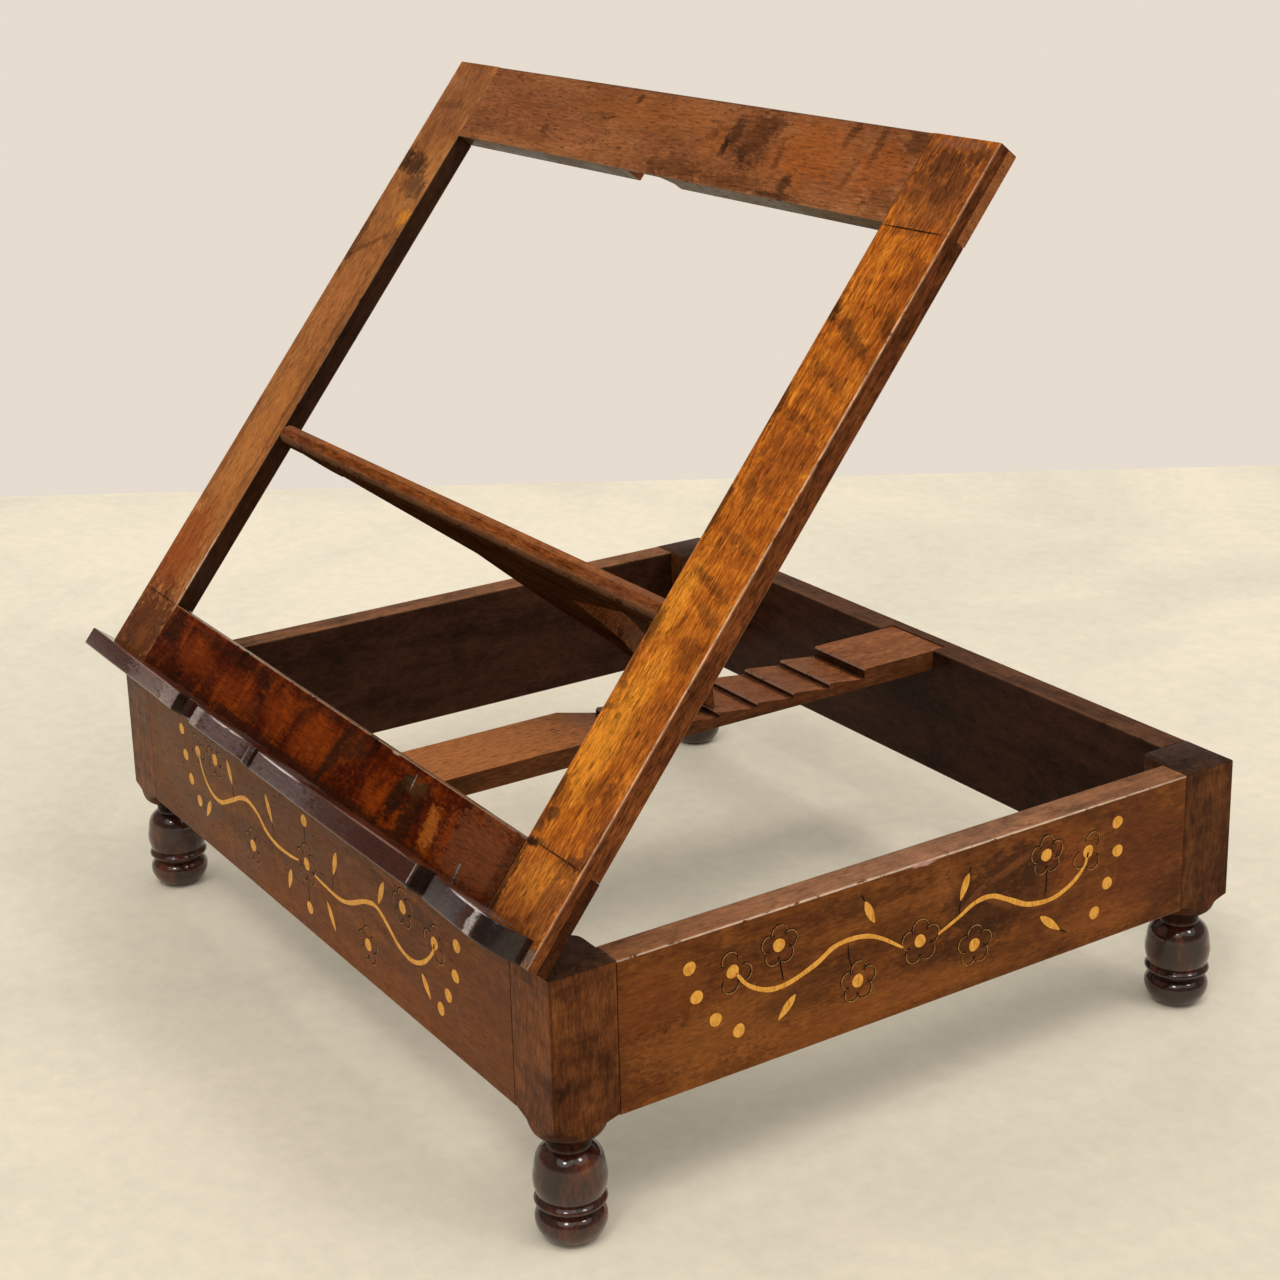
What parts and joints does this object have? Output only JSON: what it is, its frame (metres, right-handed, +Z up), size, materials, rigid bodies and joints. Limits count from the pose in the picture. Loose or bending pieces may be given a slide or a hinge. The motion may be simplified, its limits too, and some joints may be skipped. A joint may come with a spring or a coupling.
{
  "type": "table lectern",
  "caption": "Folding wooden table lectern: a hinged reading frame with a scalloped book ledge, held up by a pivoted prop in a notched rack on a framed base with turned feet.",
  "frame": {"origin": "on the surface it stands on, under the middle of the whole lectern at rest, from the front of the ledge to the back of the base", "axes": "+X towards the reader's right along the hinge line, +Y away from the reader towards the rear rail, +Z up"},
  "size_m": [0.43, 0.3886, 0.4159],
  "materials": {
    "walnut_post": "dark walnut, worn gloss",
    "walnut_rail": "dark walnut with light inlay, worn gloss",
    "walnut_rack": "walnut, satin",
    "amber_stile": "amber brown, glossy",
    "red_rail": "red brown, glossy",
    "dark_ledge": "dark plum brown, glossy",
    "prop_walnut": "red brown, satin",
    "brass": "aged brass",
    "steel": "dull steel"
  },
  "bodies": {
    "base": {"post_front_left": "walnut_post", "post_front_right": "walnut_post", "post_rear_left": "walnut_post", "post_rear_right": "walnut_post", "front_rail": "walnut_rail", "rear_rail": "walnut_rail", "left_rail": "walnut_rail", "right_rail": "walnut_rail", "rack_bar": "walnut_rack", "hinge_leaf_base_left": "brass", "hinge_leaf_base_right": "brass", "hinge_pin_left": "steel", "hinge_pin_right": "steel", "hinge_screw_base_left_inner": "steel", "hinge_screw_base_left_outer": "steel", "hinge_screw_base_right_inner": "steel", "hinge_screw_base_right_outer": "steel"},
    "reading_frame": {"frame_stile_left": "amber_stile", "frame_stile_right": "amber_stile", "frame_rail_top": "red_rail", "frame_rail_bottom": "red_rail", "book_ledge": "dark_ledge", "page_pin": "steel", "hinge_leaf_frame_left": "brass", "hinge_leaf_frame_right": "brass", "hinge_screw_frame_left_inner": "steel", "hinge_screw_frame_left_outer": "steel", "hinge_screw_frame_right_inner": "steel", "hinge_screw_frame_right_outer": "steel"},
    "prop": {"prop_board": "prop_walnut", "prop_pin_left": "steel", "prop_pin_right": "steel"}
  },
  "joints": [
    {"name": "frame_tilt", "type": "hinge", "parent": "base", "child": "reading_frame", "pos_m": [0, -0.17054, 0.1232], "axis": [1, 0, 0], "range_deg": [-52, 0]},
    {"name": "prop_swing", "type": "hinge", "parent": "reading_frame", "child": "prop", "pos_m": [0, -0.08617, 0.23979], "axis": [1, 0, 0], "range_deg": [0, 93.2]}
  ],
  "couplings": [
    {"joint": "prop_swing", "follows": "frame_tilt", "ratio": -1.7903}
  ]
}
